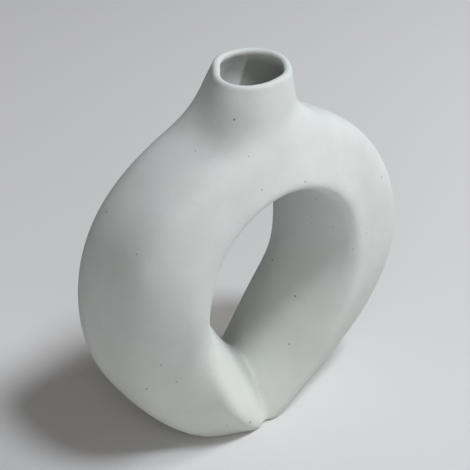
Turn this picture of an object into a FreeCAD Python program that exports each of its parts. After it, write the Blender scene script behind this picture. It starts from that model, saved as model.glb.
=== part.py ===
# Donut vase: a hollow stoneware ring that stands on a flat foot, with a short oval neck.
#
# The ring is twisted. Each of its two limbs starts under the neck, goes down round the hole and
# ends beside the other one: the left limb's lower end lies in front, the right limb's behind, and
# a crease marks where they meet. Half a turn about the upright axis brings the vase back onto
# itself, so the right limb is the left limb turned round.
#
# Frame: origin in the middle of the foot, +Z up, +X to the right and +Y to the back. The axis of
# the ring's hole runs along Y. All lengths are in millimetres and all angles in degrees.

import FreeCAD, Part
import math
import os

Vector = FreeCAD.Vector

# Sizes
SIZES = [
    ("ring_radius", 108, "outside of the ring, from the axis of its hole"),
    ("hole_radius", 48, "rim of the hole, from the same axis"),
    ("half_depth", 50, "middle plane of the ring to its front or back"),
    ("foot_cut", 6, "how far the flat foot cuts into the round of the ring"),
    ("wall", 5, "clay wall of the limbs and the neck"),
    ("floor_thickness", 6, "clay under the hollow"),
    ("seam_drop", 7.5, "crown of the hollow down to the seam under the neck"),
    ("neck_height", 36, "seam up to the top of the lip"),
    ("mouth_radius", 25.5, "mean radius of the mouth, outside"),
    ("neck_straight", 22, "upper stretch of the neck that runs nearly straight"),
    ("overrun", 10, "how far the trimming blocks stand past the clay"),
]

# Shares that shape the ring's section. There is one value for each station of a limb, from the
# top of the ring (first) round the side to the bottom (last). A reach is a share of the way from
# the hole's rim to the outside of the ring, a depth is a share of the half depth.
STATION_SHARES = [0, 1 / 6, 2 / 6, 3 / 6, 4 / 6, 5 / 6, 1]
FRONT_INNER_REACH_SHARES = [0.12, 0.10, 0.06, 0.03, 0.08, 0.40, 0.94]
FRONT_INNER_DEPTH_SHARES = [-0.92, -0.94, -0.95, -0.90, -0.85, -1.08, -0.80]
FRONT_OUTER_REACH_SHARES = [0.77, 0.68, 0.84, 0.78, 0.87, 1.03, 1.10]
FRONT_OUTER_DEPTH_SHARES = [-0.55, -0.72, -0.76, -0.78, -0.71, -0.71, -0.64]
BACK_OUTER_REACH_SHARES = [0.77, 0.81, 0.87, 0.96, 1.05, 0.96, 1.10]
BACK_OUTER_DEPTH_SHARES = [0.55, 0.37, 0.38, 0.39, 0.25, 0.32, 0.64]
BACK_INNER_REACH_SHARES = [0.12, 0.11, 0.08, 0.04, 0.10, 0.33, 0.94]
BACK_INNER_DEPTH_SHARES = [0.92, 0.87, 0.80, 0.83, 0.86, 0.83, 0.80]
CREST_SHARES = [-0.08, 0, 0.06, 0.12, 0.19, 0.36, 0.53]
FRONT_FULLNESS_SHARES = [0, 0.01, 0.09, 0.20, 0.12, -0.03, 0]
OUTER_FULLNESS_SHARES = [0, 0.01, 0.04, 0.01, 0.03, 0.08, 0.05]
INNER_EDGE_SHARE = 0.3
OUTER_EDGE_SHARE = 0.4
# The limbs' lower ends pass each other, so the seam between them stands askew. It is turned about
# the upright axis by a share of a right angle.
SEAM_TURN_SHARE = -0.07
SEAM_TURN_SHARES = [0, 0, 0, 0, 0.15, 0.6, 1]

# Shares that shape the neck. The mouth is an oval that is drawn out along a diagonal, a little to
# the left and to the back, and blunter at its left end than at its right one. The neck's
# upper stretch leans outwards on its way down, most at the back and on the left. On the right it
# runs on longer and turns into the shoulder in a tighter curve.
MOUTH_LEFT_SHARE = 0.03
MOUTH_BACK_SHARE = 0.02
MOUTH_DIAGONAL_SHARE = 0.14
MOUTH_EGG_SHARE = 0.03
MOUTH_SQUARE_SHARE = -0.02
MOUTH_CORNER_SHARE = 0.02
NECK_LEAN_SHARE = 0.34
NECK_LEFT_LEAN_SHARE = 0.12
NECK_BACK_LEAN_SHARE = 0.1
NECK_FLARE_SHARE = 0.55
NECK_RIGHT_FLARE_SHARE = 0.22
NECK_RIGHT_STRAIGHT_SHARE = 0.35
ARC_SHARE = 0.5523

# Document and sheet
doc = FreeCAD.newDocument("DonutVase")
sheet = doc.addObject("Spreadsheet::Sheet", "Sizes")
for row, (name, value, note) in enumerate(SIZES, start=1):
    sheet.set("A%d" % row, name)
    sheet.set("B%d" % row, str(value))
    sheet.setAlias("B%d" % row, name)
    sheet.set("C%d" % row, note)
doc.recompute()


def size(name):
    return float(sheet.get(name))


# Places that follow the sizes
CROWN_SHARE = FRONT_OUTER_REACH_SHARES[0]
half_depth = size("half_depth")
limb_reach = size("ring_radius") - size("hole_radius")
hole_height = size("ring_radius") - size("foot_cut")
crown_height = hole_height + size("hole_radius") + limb_reach * CROWN_SHARE
seam_height = crown_height - size("wall") - size("seam_drop")
lip_height = seam_height + size("neck_height")
lip_radius = size("wall") / 2

RIGHT_ANGLE = 90
TOP_TURN = 90
BOTTOM_TURN = 270
TURN_STEP = 10
NECK_STEP = 10
SMOOTHING_PASSES = 6


def corner(reach_share, depth_share):
    """A corner of the section: distance from the hole's axis, and place from front to back."""
    return (size("hole_radius") + limb_reach * reach_share, half_depth * depth_share)


def between(start, end, share):
    return (start[0] + (end[0] - start[0]) * share, start[1] + (end[1] - start[1]) * share)


def section_poles(station):
    """The twelve poles of the ring's section at a station, from the front inner edge round."""
    corners = [
        corner(FRONT_INNER_REACH_SHARES[station], FRONT_INNER_DEPTH_SHARES[station]),
        corner(FRONT_OUTER_REACH_SHARES[station], FRONT_OUTER_DEPTH_SHARES[station]),
        corner(BACK_OUTER_REACH_SHARES[station], BACK_OUTER_DEPTH_SHARES[station]),
        corner(BACK_INNER_REACH_SHARES[station], BACK_INNER_DEPTH_SHARES[station]),
    ]
    edge_shares = [INNER_EDGE_SHARE, OUTER_EDGE_SHARE, OUTER_EDGE_SHARE, INNER_EDGE_SHARE]
    poles = []
    for number in range(4):
        start = corners[number]
        end = corners[(number + 1) % 4]
        poles.append(start)
        poles.append(between(start, end, edge_shares[number]))
        poles.append(between(end, start, edge_shares[(number + 1) % 4]))
    bulges = [
        (0, -half_depth * FRONT_FULLNESS_SHARES[station]),
        (limb_reach * OUTER_FULLNESS_SHARES[station], 0),
        (0, 0),
        (-limb_reach * CREST_SHARES[station], 0),
    ]
    for number, (outward, backward) in enumerate(bulges):
        for pole in (3 * number + 1, 3 * number + 2):
            poles[pole] = (poles[pole][0] + outward, poles[pole][1] + backward)
    return poles


def turned_round(poles):
    """The same section half a turn about the upright axis away."""
    return [(poles[(9 - number) % 12][0], -poles[(9 - number) % 12][1]) for number in range(12)]


def set_in(poles, distance):
    """The section moved inwards by the clay's wall."""
    moved = []
    for number, (reach, depth) in enumerate(poles):
        before = poles[number - 1]
        after = poles[(number + 1) % len(poles)]
        first = (reach - before[0], depth - before[1])
        second = (after[0] - reach, after[1] - depth)
        first_length = math.hypot(*first)
        second_length = math.hypot(*second)
        normal = (-(first[1] / first_length + second[1] / second_length),
                  first[0] / first_length + second[0] / second_length)
        length = math.hypot(*normal)
        miter = distance / max(length / 2, 0.75)
        moved.append((reach + normal[0] / length * miter, depth + normal[1] / length * miter))
    return moved


def curve_through(turns, points):
    """Smooth curve through the points, one for each turn round the hole's axis."""
    curve = Part.BSplineCurve()
    curve.interpolate(Points=points, Parameters=[float(turn) for turn in turns])
    return curve


def ring_surface(inset):
    """Surface of the left limb, from a little past the top round the left side to the bottom."""
    stations = [section_poles(station) for station in range(len(STATION_SHARES))]
    turns = [TOP_TURN + (BOTTOM_TURN - TOP_TURN) * share for share in STATION_SHARES]
    lead_in = [turned_round(stations[2]), turned_round(stations[1])]
    lead_in_turns = [2 * TOP_TURN - turns[2], 2 * TOP_TURN - turns[1]]
    stations = lead_in + stations
    turns = lead_in_turns + turns
    if inset:
        stations = [set_in(poles, inset) for poles in stations]
    askew_shares = [0, 0] + SEAM_TURN_SHARES
    askew = curve_through(turns, [Vector(turn, RIGHT_ANGLE * SEAM_TURN_SHARE * share, 0)
                                  for turn, share in zip(turns, askew_shares)])
    steps = range(round(turns[0]), BOTTOM_TURN + TURN_STEP, TURN_STEP)
    rails = []
    for number in range(12):
        guide = curve_through(turns, [Vector(turn, *poles[number])
                                      for turn, poles in zip(turns, stations)])
        places = []
        for step in steps:
            _, reach, depth = guide.value(float(step))
            angle = math.radians(step)
            place = Vector(reach * math.cos(angle), depth, hole_height + reach * math.sin(angle))
            turned = FreeCAD.Rotation(Vector(0, 0, 1), askew.value(float(step)).y)
            places.append(turned.multVec(place))
        rails.append(curve_through(steps, places))
    columns = [rail.getPoles() for rail in rails]
    surface = Part.BSplineSurface()
    surface.buildFromPolesMultsKnots(
        [[column[row] for column in columns] for row in range(len(columns[0]))],
        rails[0].getMultiplicities(), [1] * 13, rails[0].getKnots(), list(range(13)), False, True, 3, 3)
    return surface


def closed_solid(faces):
    """One solid from faces that meet along their edges."""
    shell = Part.makeCompound(faces)
    shell.sewShape()
    solid = Part.Solid(shell.Shells[0])
    if solid.Volume < 0:
        solid.reverse()
    return solid


def limb_solid(surface):
    """The left limb between the upright seams at the top and at the bottom."""
    side = surface.toShape(float(TOP_TURN), float(BOTTOM_TURN), 0.0, 12.0)
    ends = []
    for edge in side.Edges:
        if edge.isClosed():
            ends.append(Part.Face(Part.Wire([edge])))
    return closed_solid([side] + ends)


def seam_ring(surface):
    """Where the surface meets the seam under the neck: distance from the upright axis and slope."""
    ring = []
    for turn in range(TOP_TURN, BOTTOM_TURN, NECK_STEP):
        outward = Vector(math.cos(math.radians(turn)), math.sin(math.radians(turn)), 0)
        start = Vector(0, 0, seam_height)
        ray = Part.Line(start, start + outward)
        crossings = [Vector(point.X, point.Y, point.Z) for point in ray.intersectCS(surface)[0]]
        crossings = [point for point in crossings if (point - start).dot(outward) > 0]
        crossing = min(crossings, key=lambda point: (point - start).Length)
        normal = surface.normal(*surface.parameter(crossing))
        across = normal.dot(outward)
        rise = Vector(-normal.z, abs(across), 0) if across > 0 else Vector(normal.z, abs(across), 0)
        ring.append(((crossing - start).Length, rise.normalize()))
    return ring + ring


def mouth_reach(turn):
    """Outside of the mouth in one direction."""
    angle = math.radians(turn)
    shape = MOUTH_BACK_SHARE * math.sin(angle) - MOUTH_LEFT_SHARE * math.cos(angle)
    shape += MOUTH_DIAGONAL_SHARE * math.sin(2 * angle) - MOUTH_EGG_SHARE * math.sin(3 * angle)
    shape += MOUTH_SQUARE_SHARE * math.cos(4 * angle) + MOUTH_CORNER_SHARE * math.sin(4 * angle)
    return size("mouth_radius") * (1 + shape)


def neck_profile(turn, foot, inset):
    """Four poles of the neck's wall in one direction, from the lip down to the seam."""
    reach, rise = foot
    top = Vector(mouth_reach(turn) - inset, lip_height - lip_radius, 0)
    rightward = math.cos(math.radians(turn))
    backward = math.sin(math.radians(turn))
    lean = NECK_LEAN_SHARE - NECK_LEFT_LEAN_SHARE * rightward + NECK_BACK_LEAN_SHARE * backward
    straight = size("neck_straight") * (1 + NECK_RIGHT_STRAIGHT_SHARE * rightward)
    under_top = top + Vector(lean, -1, 0) * straight
    bottom = Vector(reach, seam_height, 0)
    flare = NECK_FLARE_SHARE + NECK_RIGHT_FLARE_SHARE * rightward
    over_bottom = bottom + rise * (flare * (top - bottom).Length)
    return [top, under_top, over_bottom, bottom]


def lip_profile(turn, side):
    """Four poles of a quarter of the lip's round: side is 1 outside and -1 inside."""
    centre = Vector(mouth_reach(turn) - lip_radius, lip_height - lip_radius, 0)
    outward = Vector(side * lip_radius, 0, 0)
    upward = Vector(0, lip_radius, 0)
    return [centre + outward, centre + outward + upward * ARC_SHARE,
            centre + upward + outward * ARC_SHARE, centre + upward]


def closed_poles(points):
    """Poles of the smooth closed curve that runs through the points."""
    poles = list(points)
    for _ in range(SMOOTHING_PASSES):
        curve = [(poles[number - 1] + poles[number] * 4 + poles[(number + 1) % len(poles)]) / 6
                 for number in range(len(poles))]
        poles = [pole + point - place for pole, point, place in zip(poles, points, curve)]
    return poles


def neck_face(profiles):
    """Face round the upright axis through one profile for each direction."""
    rows = []
    for number in range(4):
        points = []
        for turn, profile in zip(NECK_TURNS, profiles):
            angle = math.radians(turn)
            points.append(Vector(profile[number].x * math.cos(angle),
                                 profile[number].x * math.sin(angle), profile[number].y))
        rows.append(closed_poles(points))
    count = len(NECK_TURNS)
    surface = Part.BSplineSurface()
    surface.buildFromPolesMultsKnots(
        rows, [4, 4], [1] * (count + 1), [0, 1], list(range(count + 1)), False, True, 3, 3)
    return surface.toShape()


def seam_wire(face):
    """The lower edge of a neck wall, in the plane of the seam."""
    return Part.Wire([edge for edge in face.Edges if edge.BoundBox.ZMax < seam_height + lip_radius])


def add(kind, name):
    return doc.addObject(kind, name)


NECK_TURNS = list(range(TOP_TURN, TOP_TURN + 360, NECK_STEP))

# Clay and hollow of one limb
skin = ring_surface(0)
hollow = ring_surface(size("wall"))
limb_clay = add("Part::Feature", "LimbClay")
limb_clay.Shape = limb_solid(skin)
limb_hollow = add("Part::Feature", "LimbHollow")
limb_hollow.Shape = limb_solid(hollow)

SEAM_HEIGHT = ("(Sizes.ring_radius - Sizes.foot_cut + Sizes.hole_radius"
               " + (Sizes.ring_radius - Sizes.hole_radius) * %s"
               " - Sizes.wall - Sizes.seam_drop)" % CROWN_SHARE)


def trimming_block(name, bottom, height):
    """A block wider than the ring, from one level up to another."""
    block = add("Part::Box", name)
    block.setExpression("Length", "2 * (Sizes.ring_radius + Sizes.overrun)")
    block.setExpression("Width", "2 * (Sizes.half_depth + Sizes.overrun)")
    block.setExpression("Height", height)
    block.setExpression("Placement.Base.x", "-(Sizes.ring_radius + Sizes.overrun)")
    block.setExpression("Placement.Base.y", "-(Sizes.half_depth + Sizes.overrun)")
    block.setExpression("Placement.Base.z", bottom)
    return block


def boolean(kind, name, base, tool):
    result = add(kind, name)
    result.Base = base
    result.Tool = tool
    return result


# The foot and the seam under the neck trim the clay, the floor's thickness trims the hollow
clay_block = trimming_block("ClayBlock", "0", SEAM_HEIGHT)
hollow_block = trimming_block("HollowBlock", "Sizes.floor_thickness",
                              SEAM_HEIGHT + " - Sizes.floor_thickness + Sizes.overrun")
trimmed_clay = boolean("Part::Common", "TrimmedClay", limb_clay, clay_block)
trimmed_hollow = boolean("Part::Common", "TrimmedHollow", limb_hollow, hollow_block)
left_limb = boolean("Part::Cut", "left_limb", trimmed_clay, trimmed_hollow)
right_limb = boolean("Part::Cut", "right_limb", trimmed_clay, trimmed_hollow)
right_limb.Placement = FreeCAD.Placement(Vector(0, 0, 0), FreeCAD.Rotation(Vector(0, 0, 1), 180))

# Neck: outer wall, rounded lip, inner wall and the flat seam below
outer_feet = seam_ring(skin)
inner_feet = seam_ring(hollow)
outer_wall = neck_face([neck_profile(turn, foot, 0) for turn, foot in zip(NECK_TURNS, outer_feet)])
inner_wall = neck_face(
    [neck_profile(turn, foot, size("wall")) for turn, foot in zip(NECK_TURNS, inner_feet)])
outer_lip = neck_face([lip_profile(turn, 1) for turn in NECK_TURNS])
inner_lip = neck_face([lip_profile(turn, -1) for turn in NECK_TURNS])
seam = Part.makeFace([seam_wire(outer_wall), seam_wire(inner_wall)], "Part::FaceMakerBullseye")
neck_collar = add("Part::Feature", "neck_collar")
neck_collar.Shape = closed_solid([outer_wall, outer_lip, inner_lip, inner_wall, seam])
doc.recompute()

# Check and write
for item in doc.Objects:
    if "Invalid" in item.State or "Error" in item.State:
        raise RuntimeError("%s did not build: %s" % (item.Name, item.State))

os.makedirs("parts", exist_ok=True)
for piece in (left_limb, right_limb, neck_collar):
    piece.Label = piece.Name
    shape = piece.Shape
    if shape.isNull() or not shape.isValid():
        raise RuntimeError("%s has no valid shape" % piece.Label)
    shape.exportStep("parts/%s.step" % piece.Label)
    box = shape.BoundBox
    print("%-12s %d solid, %.1f cm3, x %.1f to %.1f, y %.1f to %.1f, z %.1f to %.1f" % (
        piece.Label, len(shape.Solids), shape.Volume / 1000,
        box.XMin, box.XMax, box.YMin, box.YMax, box.ZMin, box.ZMax))
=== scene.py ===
"""Donut vase in matte pale grey-green stoneware.

The ring is built from two hollow limbs and the neck is a collar, all luted into one fired body.
Lengths are in metres, +Z is up, +Y is to the back, and the origin is in the middle of the foot.
"""

import math

import bmesh
import bpy
import numpy as np
from mathutils import Matrix, Vector


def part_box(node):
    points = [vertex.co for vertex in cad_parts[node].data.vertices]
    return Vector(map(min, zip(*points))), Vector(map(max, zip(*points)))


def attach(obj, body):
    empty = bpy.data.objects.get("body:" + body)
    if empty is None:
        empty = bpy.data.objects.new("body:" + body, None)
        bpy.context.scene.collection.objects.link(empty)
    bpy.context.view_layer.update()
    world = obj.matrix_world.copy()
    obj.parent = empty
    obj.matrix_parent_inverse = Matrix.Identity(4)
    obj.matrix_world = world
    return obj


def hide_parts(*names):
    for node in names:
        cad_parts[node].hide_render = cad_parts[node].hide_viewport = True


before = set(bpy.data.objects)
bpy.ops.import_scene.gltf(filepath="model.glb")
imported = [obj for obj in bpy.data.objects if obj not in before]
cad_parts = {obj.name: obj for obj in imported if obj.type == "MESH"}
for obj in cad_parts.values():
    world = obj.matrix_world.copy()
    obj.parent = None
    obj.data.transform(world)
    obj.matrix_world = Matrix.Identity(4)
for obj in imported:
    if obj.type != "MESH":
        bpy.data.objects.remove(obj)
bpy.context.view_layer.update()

# The vase
PART_NAMES = ("left_limb", "right_limb", "neck_collar")
COLLAR_SEAM_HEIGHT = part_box("neck_collar")[0].z
LIP_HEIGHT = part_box("neck_collar")[1].z
LIP_ROUNDING = 0.0025
HOLE_HEIGHT = 0.102
FLOOR_THICKNESS = 0.006
MOUTH_REACH = 0.019
FOOT_SEAM_TURN = math.radians(-6.3)
FOOT_SEAM_NORMAL = (math.cos(FOOT_SEAM_TURN), math.sin(FOOT_SEAM_TURN), 0)

# The wet sponge: how often it passes, how strongly it pulls, and how far it reaches from each joint
CLAY_GRAIN = 0.0013
EVENING_PASSES = 14
PULL_IN = 0.5
LET_OUT = -0.52
JOINT_PASSES = 30
CREASE_REACH = 0.016
FOOT_REACH = 0.006
COLLAR_REACH = 0.016

# The knife that cuts the skin into parts
COLLAR_CUT_MARGIN = 0.01
CUT_TOLERANCE = 1e-6
ON_THE_CUT = 1e-5

# The painted shade inside the mouth: a darker tone that sets in below the lip, and deeper down on the
# side with a painted pool of light, which runs from one share of the mouth's reach to another
SHADE_FADE_DEPTH = 0.01
PAINTED_LIGHT_SIDE = (-0.81, 0.58)
PAINTED_LIGHT_FROM, PAINTED_LIGHT_TO = 0.16, 0.56
PAINTED_LIGHT_DEPTH = 0.032

# Colours as the eye reads them, 0 to 255
CLAY, PALER_CLAY = (207, 212, 211), (216, 220, 220)
# The painted shade inside the mouth
PAINTED_SHADE_COLOUR = (164, 168, 164)
DARK_SPECK, GREY_SPECK = (92, 88, 82), (140, 138, 132)
TABLE_TOP = (214, 214, 216)
BACKDROP = (188, 188, 190)

# The clay's look: the tint of painted warm light bounced up from the table, which the colour is
# multiplied by at the foot, and how full a speck's middle is
TABLE_BOUNCE_TINT = (0.99, 0.985, 0.93, 1)
TABLE_BOUNCE_HEIGHT = 0.12
SPECK_CORE_SHARE = 0.6
SPECK_STRENGTH = 0.8

# The studio
TABLE_RADIUS = 1.5
LAMP_DISTANCE = 2.2
LAMP_AIM = Vector((0, 0, 0.1))

# The camera: its angles in degrees, and the square picture's measures in pixels from its top left corner
PICTURE_SIDE = 470
PICTURE_FOCUS = 1282
LENS_AXIS_ACROSS, LENS_AXIS_DOWN = 244.3, 246.35
SENSOR_WIDTH = 36
CAMERA_DISTANCE = 0.757
CAMERA_AIM = Vector((0, 0, 0.105))
CAMERA_AZIMUTH, CAMERA_ELEVATION, CAMERA_ROLL = -35.6, 30.75, 2.6


def linear(colour):
    """A colour as the eye reads it, 0 to 255, in the light's own scale, with an alpha of 1."""
    return [((value / 255 + 0.055) / 1.055) ** 2.4 for value in colour] + [1]


def new_piece(name, data):
    """A mesh, lamp or lens placed in the scene."""
    piece = bpy.data.objects.new(name, data)
    bpy.context.scene.collection.objects.link(piece)
    return piece


def direction(azimuth, elevation):
    """From the vase towards a place seen under these angles: azimuth 0 is in front, 90 to the right."""
    azimuth, elevation = math.radians(azimuth), math.radians(elevation)
    return Vector((math.sin(azimuth) * math.cos(elevation),
                   -math.cos(azimuth) * math.cos(elevation),
                   math.sin(elevation)))


def luted_body():
    """The limbs and the collar joined into one skin, as slip and a wet sponge leave them."""
    clay = bmesh.new()
    for name in PART_NAMES:
        clay.from_mesh(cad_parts[name].data)
    mesh = bpy.data.meshes.new("luted_clay")
    clay.to_mesh(mesh)
    clay.free()
    lump = new_piece("luted_clay", mesh)
    remesh = lump.modifiers.new("one skin", "REMESH")
    remesh.mode = "VOXEL"
    remesh.voxel_size = CLAY_GRAIN
    graph = bpy.context.evaluated_depsgraph_get()
    skin = bpy.data.meshes.new_from_object(lump.evaluated_get(graph))
    bpy.data.objects.remove(lump)
    return skin


def sponge(skin):
    """Evens the skin without shrinking it, and softens the foot of the crease and the collar's joint."""
    count = len(skin.vertices)
    places = np.empty(count * 3)
    skin.vertices.foreach_get("co", places)
    places = places.reshape(count, 3)
    edges = np.empty(len(skin.edges) * 2, dtype=np.int64)
    skin.edges.foreach_get("vertices", edges)
    starts, ends = edges.reshape(-1, 2).T
    neighbours = np.bincount(starts, minlength=count) + np.bincount(ends, minlength=count)

    def pull(strength):
        """Each place's step towards the middle of its neighbours, or away from it."""
        total = np.empty_like(places)
        for axis in range(3):
            total[:, axis] = (
                np.bincount(starts, weights=places[ends, axis], minlength=count)
                + np.bincount(ends, weights=places[starts, axis], minlength=count))
        return (total / neighbours[:, None] - places) * strength

    for _ in range(EVENING_PASSES):
        places += pull(PULL_IN)
        places += pull(LET_OUT)
    across_crease = np.abs(places @ FOOT_SEAM_NORMAL)
    at_crease = np.clip(1 - across_crease / CREASE_REACH, 0, 1)
    at_foot = at_crease * np.clip(2 - places[:, 2] / FOOT_REACH, 0, 1)
    at_collar = np.clip(1 - np.abs(places[:, 2] - COLLAR_SEAM_HEIGHT) / COLLAR_REACH, 0, 1)
    for _ in range(JOINT_PASSES):
        places += pull(PULL_IN) * np.maximum(at_foot, at_collar)[:, None]
    places[:, 2] = np.clip(places[:, 2], 0, LIP_HEIGHT)
    skin.vertices.foreach_set("co", places.ravel())
    skin.update()


def cut_along_joints(body):
    """Scores the skin level under the collar, upright at the crown, and along the crease at the foot."""
    middle, under_foot = (0, 0, 0), -1
    for low, high, place, normal in (
            (COLLAR_SEAM_HEIGHT - COLLAR_CUT_MARGIN, COLLAR_SEAM_HEIGHT + COLLAR_CUT_MARGIN,
             (0, 0, COLLAR_SEAM_HEIGHT), (0, 0, 1)),
            (HOLE_HEIGHT, COLLAR_SEAM_HEIGHT, middle, (1, 0, 0)),
            (under_foot, HOLE_HEIGHT, middle, FOOT_SEAM_NORMAL)):
        faces = [face for face in body.faces if low < face.calc_center_median().z < high]
        edges = {edge for face in faces for edge in face.edges}
        corners = {corner for face in faces for corner in face.verts}
        bmesh.ops.bisect_plane(
            body, geom=faces + list(edges) + list(corners), dist=CUT_TOLERANCE,
            plane_co=place, plane_no=normal)


def inside_of(body):
    """The corners of the skin that lie inside the vase, below its lip."""
    floor = Vector((0, 0, FLOOR_THICKNESS))
    first = min(body.verts, key=lambda corner: (corner.co - floor).length_squared)
    inside, waiting = {first}, [first]
    while waiting:
        corner = waiting.pop()
        for edge in corner.link_edges:
            other = edge.other_vert(corner)
            if other not in inside and other.co.z < LIP_HEIGHT - LIP_ROUNDING:
                inside.add(other)
                waiting.append(other)
    return inside


def note_painted_shade(body):
    """Notes on each corner inside how far the painted shade has set in, up to 1 where it is full, with
    less of it where the pool of light is painted.
    """
    painted_shade_depth = body.verts.layers.float.new("painted_shade_depth")
    for corner in inside_of(body):
        x, y, z = corner.co
        leftward = (x * PAINTED_LIGHT_SIDE[0] + y * PAINTED_LIGHT_SIDE[1]) / MOUTH_REACH
        # A painted pool of light on one inner wall, where the painted shade starts deeper down
        pale = min(1, max(0, (leftward - PAINTED_LIGHT_FROM) / (PAINTED_LIGHT_TO - PAINTED_LIGHT_FROM)))
        corner[painted_shade_depth] = min(1, (LIP_HEIGHT - z - PAINTED_LIGHT_DEPTH * pale) / SHADE_FADE_DEPTH)


def part_number(place):
    """The part that a place of the skin belongs to, as its number in PART_NAMES."""
    if place.z > COLLAR_SEAM_HEIGHT:
        return PART_NAMES.index("neck_collar")
    rightward = place.x
    if place.z <= HOLE_HEIGHT:
        rightward = place.x * FOOT_SEAM_NORMAL[0] + place.y * FOOT_SEAM_NORMAL[1]
    return PART_NAMES.index("left_limb" if rightward < 0 else "right_limb")


def open_rims(part):
    """A part's open edges in three groups: at the collar's joint, at the crown and at the foot."""
    edges = [edge for edge in part.edges if edge.is_boundary]
    at_collar = [
        edge for edge in edges
        if all(abs(corner.co.z - COLLAR_SEAM_HEIGHT) < ON_THE_CUT for corner in edge.verts)]
    at_foot = [edge for edge in edges if edge.verts[0].co.z <= HOLE_HEIGHT]
    elsewhere = set(at_collar + at_foot)
    at_crown = [edge for edge in edges if edge not in elsewhere]
    return [rim for rim in (at_collar, at_crown, at_foot) if rim]


def closed_part(whole, number):
    """One part's own mesh, closed flat at its cuts and smooth everywhere else."""
    part = bmesh.new()
    part.from_mesh(whole)
    part_of = part.faces.layers.int["part"]
    others = [face for face in part.faces if face[part_of] != number]
    bmesh.ops.delete(part, geom=others, context="FACES")
    skin_faces = set(part.faces)
    for rim in open_rims(part):
        bmesh.ops.triangle_fill(part, use_beauty=False, use_dissolve=False, edges=rim)
    caps = [face for face in part.faces if face not in skin_faces]
    bmesh.ops.recalc_face_normals(part, faces=part.faces)
    part.faces.index_update()
    cap_numbers = {face.index for face in caps}
    mesh = bpy.data.meshes.new(PART_NAMES[number] + "_clay")
    part.to_mesh(mesh)
    part.free()

    skin_normals = np.empty(len(mesh.vertices) * 3)
    mesh.attributes["skin_normal"].data.foreach_get("vector", skin_normals)
    skin_normals = skin_normals.reshape(-1, 3)
    corner_normals = []
    for face in mesh.polygons:
        flat = face.index in cap_numbers
        for corner in face.vertices:
            corner_normals.append(tuple(face.normal if flat else skin_normals[corner]))
    mesh.polygons.foreach_set("use_smooth", [True] * len(mesh.polygons))
    mesh.normals_split_custom_set(corner_normals)
    mesh.attributes.remove(mesh.attributes["skin_normal"])
    return mesh


def cut_into_parts(skin, stoneware):
    """Cuts the skin along its luted joints into the two limbs and the collar."""
    body = bmesh.new()
    body.from_mesh(skin)
    cut_along_joints(body)
    body.normal_update()
    skin_normals = body.verts.layers.float_vector.new("skin_normal")
    for corner in body.verts:
        corner[skin_normals] = corner.normal
    note_painted_shade(body)
    part_of = body.faces.layers.int.new("part")
    for face in body.faces:
        face[part_of] = part_number(face.calc_center_median())
    whole = bpy.data.meshes.new("whole")
    body.to_mesh(whole)
    body.free()
    for number, name in enumerate(PART_NAMES):
        piece = new_piece(name + "_clay", closed_part(whole, number))
        piece.data.materials.clear()
        piece.data.materials.append(stoneware)
        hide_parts(name)
        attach(piece, "root")
    bpy.data.meshes.remove(whole)


def add_node(tree, kind, inputs, **settings):
    """A new node, each of whose inputs is set to a value or linked to another node's output."""
    made = tree.nodes.new(kind)
    for name, value in settings.items():
        setattr(made, name, value)
    for name, value in inputs.items():
        if isinstance(value, bpy.types.NodeSocket):
            tree.links.new(value, made.inputs[name])
        else:
            made.inputs[name].default_value = value
    return made


def spread(tree, value, low, high):
    """The part of a value's range from low to high, drawn out to 0 to 1."""
    inputs = {"Value": value, "From Min": low, "From Max": high}
    return add_node(tree, "ShaderNodeMapRange", inputs).outputs[0]


def blend(tree, share, colour, other_colour, **settings):
    """One colour going over into another by a share from 0 to 1."""
    inputs = {"Factor": share, "A": colour, "B": other_colour}
    return add_node(tree, "ShaderNodeMix", inputs, data_type="RGBA", **settings).outputs["Result"]


def mottled(tree, place):
    """Pale grey-green that drifts between two near tones."""
    cloud = add_node(tree, "ShaderNodeTexNoise", {
        "Vector": place, "Scale": 38, "Detail": 4, "Roughness": 0.6})
    drift = spread(tree, cloud.outputs["Fac"], 0.32, 0.68)
    return blend(tree, drift, linear(CLAY), linear(PALER_CLAY))


def paint_table_bounce(tree, place, colour):
    """Painted warm light bounced up from the table: a slightly warmer tone from halfway up the vase down
    to its foot.
    """
    height = add_node(tree, "ShaderNodeSeparateXYZ", {0: place}).outputs["Z"]
    near_foot = spread(tree, height, TABLE_BOUNCE_HEIGHT, 0)
    return blend(tree, near_foot, colour, TABLE_BOUNCE_TINT, blend_type="MULTIPLY")


def paint_shade_inside(tree, place, colour):
    """Painted shade inside the mouth: a darker tone which fades in below the lip along a ragged line."""
    depth = add_node(tree, "ShaderNodeAttribute", {}, attribute_name="painted_shade_depth")
    ragged = add_node(tree, "ShaderNodeTexNoise", {"Vector": place, "Scale": 110, "Detail": 2})
    edge_line = add_node(tree, "ShaderNodeMath", {
        0: ragged.outputs["Fac"], 1: 0.35, 2: depth.outputs["Fac"]}, operation="MULTIPLY_ADD")
    return blend(tree, spread(tree, edge_line.outputs[0], 0.4, 1), colour, linear(PAINTED_SHADE_COLOUR))


def specked(tree, place, colour, cells_per_metre, size, bare_share, speck_colour):
    """Sparse iron specks: one in a cell of clay, a share of the cell in size, with most cells bare."""
    cells = add_node(tree, "ShaderNodeTexVoronoi", {"Vector": place, "Scale": cells_per_metre})
    chosen = add_node(tree, "ShaderNodeMath", {
        0: cells.outputs["Color"], 1: bare_share}, operation="GREATER_THAN")
    spot = add_node(tree, "ShaderNodeMapRange", {
        "Value": cells.outputs["Distance"], "From Min": size * SPECK_CORE_SHARE, "From Max": size,
        "To Min": SPECK_STRENGTH, "To Max": 0})
    speck = add_node(tree, "ShaderNodeMath", {
        0: spot.outputs[0], 1: chosen.outputs[0]}, operation="MULTIPLY")
    return blend(tree, speck.outputs[0], colour, linear(speck_colour))


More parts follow.
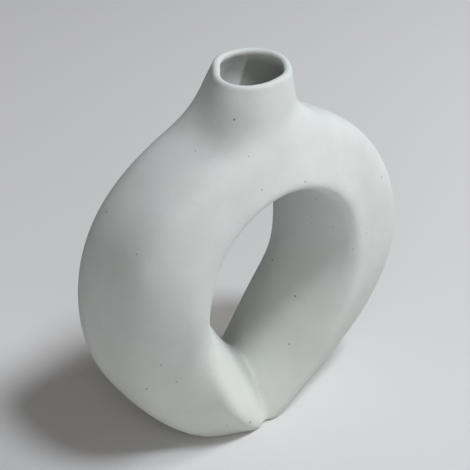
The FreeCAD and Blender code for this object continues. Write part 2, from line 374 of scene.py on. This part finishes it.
def matte_stoneware():
    """Unglazed stoneware: pale grey-green, faintly mottled, with sparse dark specks, painted shade
    inside the mouth and painted warm bounce light at the foot.
    """
    material = bpy.data.materials.new("matte stoneware")
    material.use_nodes = True
    tree = material.node_tree
    tree.nodes.clear()
    place = add_node(tree, "ShaderNodeTexCoord", {}).outputs["Object"]
    # Painted warm bounce light from the table at the foot, then painted shade inside the mouth
    colour = paint_shade_inside(tree, place, paint_table_bounce(tree, place, mottled(tree, place)))
    colour = specked(
        tree, place, colour, cells_per_metre=95, size=0.08, bare_share=0.72, speck_colour=DARK_SPECK)
    colour = specked(
        tree, place, colour, cells_per_metre=170, size=0.11, bare_share=0.82, speck_colour=GREY_SPECK)
    grain = add_node(tree, "ShaderNodeTexNoise", {"Vector": place, "Scale": 900, "Detail": 3})
    roughened = add_node(tree, "ShaderNodeBump", {
        "Height": grain.outputs["Fac"], "Strength": 0.25, "Distance": 0.0003})
    surface = add_node(tree, "ShaderNodeBsdfPrincipled", {
        "Base Color": colour, "Roughness": 0.78, "Specular IOR Level": 0.3,
        "Normal": roughened.outputs[0]})
    add_node(tree, "ShaderNodeOutputMaterial", {"Surface": surface.outputs[0]})
    return material


def table():
    """A pale round table top under the vase."""
    top = bmesh.new()
    bmesh.ops.create_circle(top, cap_ends=True, segments=128, radius=TABLE_RADIUS)
    mesh = bpy.data.meshes.new("floor")
    top.to_mesh(mesh)
    top.free()
    material = bpy.data.materials.new("pale table")
    material.use_nodes = True
    surface = material.node_tree.nodes["Principled BSDF"]
    surface.inputs["Base Color"].default_value = linear(TABLE_TOP)
    surface.inputs["Roughness"].default_value = 0.9
    mesh.materials.append(material)
    new_piece("floor", mesh)


def lamp(name, azimuth, elevation, width, power, colour):
    """A round soft lamp that faces the vase: its angles in degrees and its power in watts."""
    light = bpy.data.lights.new(name, "AREA")
    light.shape = "DISK"
    light.size = width
    light.energy = power
    light.color = colour
    piece = new_piece(name, light)
    away = direction(azimuth, elevation)
    piece.location = LAMP_AIM + away * LAMP_DISTANCE
    piece.rotation_mode = "QUATERNION"
    piece.rotation_quaternion = (-away).to_track_quat("-Z", "Y")


def room():
    """Faint warm light from all round, in front of a pale backdrop."""
    world = bpy.data.worlds.new("room")
    world.use_nodes = True
    tree = world.node_tree
    tree.nodes.clear()
    room_light = add_node(tree, "ShaderNodeBackground", {"Color": (1, 0.96, 0.91, 1), "Strength": 0.12})
    backdrop = add_node(tree, "ShaderNodeBackground", {"Color": linear(BACKDROP)})
    seen = add_node(tree, "ShaderNodeLightPath", {}).outputs["Is Camera Ray"]
    either = add_node(tree, "ShaderNodeMixShader", {
        0: seen, 1: room_light.outputs[0], 2: backdrop.outputs[0]})
    add_node(tree, "ShaderNodeOutputWorld", {"Surface": either.outputs[0]})
    bpy.context.scene.world = world


def studio():
    """A soft key light from above, a side light and a large fill, round a pale table."""
    table()
    lamp("key from above", azimuth=36, elevation=67, width=0.5, power=25.5, colour=(0.92, 0.96, 1))
    lamp("side light", azimuth=77, elevation=37, width=0.6, power=19.5, colour=(1, 0.99, 0.96))
    lamp("fill", azimuth=-30, elevation=30, width=1.6, power=10, colour=(1, 0.96, 0.91))
    room()


def camera():
    """Looks down on the vase from the front left."""
    lens = bpy.data.cameras.new("camera")
    lens.sensor_width = SENSOR_WIDTH
    lens.lens = SENSOR_WIDTH * PICTURE_FOCUS / PICTURE_SIDE
    lens.shift_x = (PICTURE_SIDE / 2 - LENS_AXIS_ACROSS) / PICTURE_SIDE
    lens.shift_y = (LENS_AXIS_DOWN - PICTURE_SIDE / 2) / PICTURE_SIDE
    lens.clip_start, lens.clip_end = 0.01, 20
    back = direction(CAMERA_AZIMUTH, CAMERA_ELEVATION)
    level = direction(CAMERA_AZIMUTH + 90, 0)
    over = back.cross(level)
    roll = math.radians(CAMERA_ROLL)
    right = level * math.cos(roll) + over * math.sin(roll)
    up = over * math.cos(roll) - level * math.sin(roll)
    turn = Matrix((right, up, back)).transposed()
    piece = new_piece("camera", lens)
    piece.matrix_world = (
        Matrix.Translation(CAMERA_AIM + back * CAMERA_DISTANCE) @ turn.to_4x4())
    bpy.context.scene.camera = piece


clay_skin = luted_body()
sponge(clay_skin)
stoneware = matte_stoneware()
cut_into_parts(clay_skin, stoneware)
for cad_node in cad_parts.values():
    for slot in cad_node.material_slots:
        slot.material = stoneware
studio()
camera()
bpy.context.scene.view_settings.view_transform = "Standard"
